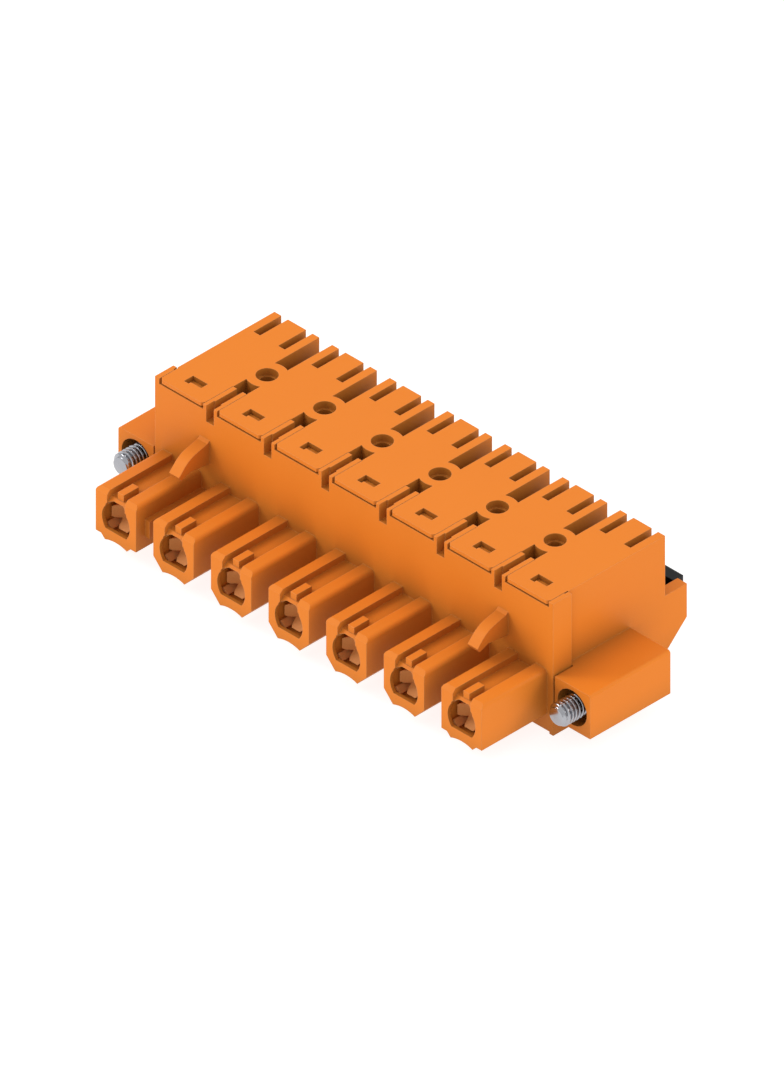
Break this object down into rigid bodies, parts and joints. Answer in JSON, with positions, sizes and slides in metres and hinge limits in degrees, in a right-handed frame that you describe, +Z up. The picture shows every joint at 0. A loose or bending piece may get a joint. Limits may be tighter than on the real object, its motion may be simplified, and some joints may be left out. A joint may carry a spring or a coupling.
{
  "type": "pluggable terminal block",
  "caption": "Orange female plug connector with push-in wire clamps, contact chambers, locking hooks, release buttons and screw flanges.",
  "frame": {"origin": "on the surface it lies on, under the middle of its overall box", "axes": "+X along the row of poles, +Y from the mating side to the wire side, +Z up"},
  "size_m": [0.0624, 0.0278, 0.015],
  "materials": {
    "orange_housing": "moulded polyamide, fine satin texture",
    "black_button": "moulded polyamide, satin",
    "copper_contact": "copper alloy, soft sheen",
    "spring_steel": "stainless spring steel strip",
    "plated_screw": "zinc-plated steel"
  },
  "bodies": {
    "plug": {"contact_housing": "orange_housing", "clamp_housing": "orange_housing", "contact_1": "copper_contact", "contact_2": "copper_contact", "contact_3": "copper_contact", "contact_4": "copper_contact", "contact_5": "copper_contact", "contact_6": "copper_contact", "contact_7": "copper_contact", "clamp_spring_1": "spring_steel", "clamp_spring_2": "spring_steel", "clamp_spring_3": "spring_steel", "clamp_spring_4": "spring_steel", "clamp_spring_5": "spring_steel", "clamp_spring_6": "spring_steel", "clamp_spring_7": "spring_steel"},
    "release_button_1": {"release_button_1": "black_button"},
    "release_button_2": {"release_button_2": "black_button"},
    "release_button_3": {"release_button_3": "black_button"},
    "release_button_4": {"release_button_4": "black_button"},
    "release_button_5": {"release_button_5": "black_button"},
    "release_button_6": {"release_button_6": "black_button"},
    "release_button_7": {"release_button_7": "black_button"},
    "flange_screw_left": {"flange_screw_left": "plated_screw"},
    "flange_screw_right": {"flange_screw_right": "plated_screw"}
  },
  "joints": [
    {"name": "button_1_press", "type": "slide", "parent": "plug", "child": "release_button_1", "axis": [0, -1, 0], "range_m": [0, 0.0016], "stiffness_N_per_m": 2500, "springref_m": -0.0004, "deforming": ["clamp_spring_1"]},
    {"name": "button_2_press", "type": "slide", "parent": "plug", "child": "release_button_2", "axis": [0, -1, 0], "range_m": [0, 0.0016], "stiffness_N_per_m": 2500, "springref_m": -0.0004, "deforming": ["clamp_spring_2"]},
    {"name": "button_3_press", "type": "slide", "parent": "plug", "child": "release_button_3", "axis": [0, -1, 0], "range_m": [0, 0.0016], "stiffness_N_per_m": 2500, "springref_m": -0.0004, "deforming": ["clamp_spring_3"]},
    {"name": "button_4_press", "type": "slide", "parent": "plug", "child": "release_button_4", "axis": [0, -1, 0], "range_m": [0, 0.0016], "stiffness_N_per_m": 2500, "springref_m": -0.0004, "deforming": ["clamp_spring_4"]},
    {"name": "button_5_press", "type": "slide", "parent": "plug", "child": "release_button_5", "axis": [0, -1, 0], "range_m": [0, 0.0016], "stiffness_N_per_m": 2500, "springref_m": -0.0004, "deforming": ["clamp_spring_5"]},
    {"name": "button_6_press", "type": "slide", "parent": "plug", "child": "release_button_6", "axis": [0, -1, 0], "range_m": [0, 0.0016], "stiffness_N_per_m": 2500, "springref_m": -0.0004, "deforming": ["clamp_spring_6"]},
    {"name": "button_7_press", "type": "slide", "parent": "plug", "child": "release_button_7", "axis": [0, -1, 0], "range_m": [0, 0.0016], "stiffness_N_per_m": 2500, "springref_m": -0.0004, "deforming": ["clamp_spring_7"]},
    {"name": "screw_left_turn", "type": "hinge", "parent": "plug", "child": "flange_screw_left", "pos_m": [-0.02883, -0.00528, 0.00448], "axis": [0, -1, 0], "continuous": true},
    {"name": "screw_right_turn", "type": "hinge", "parent": "plug", "child": "flange_screw_right", "pos_m": [0.02883, -0.00528, 0.00448], "axis": [0, -1, 0], "continuous": true}
  ]
}
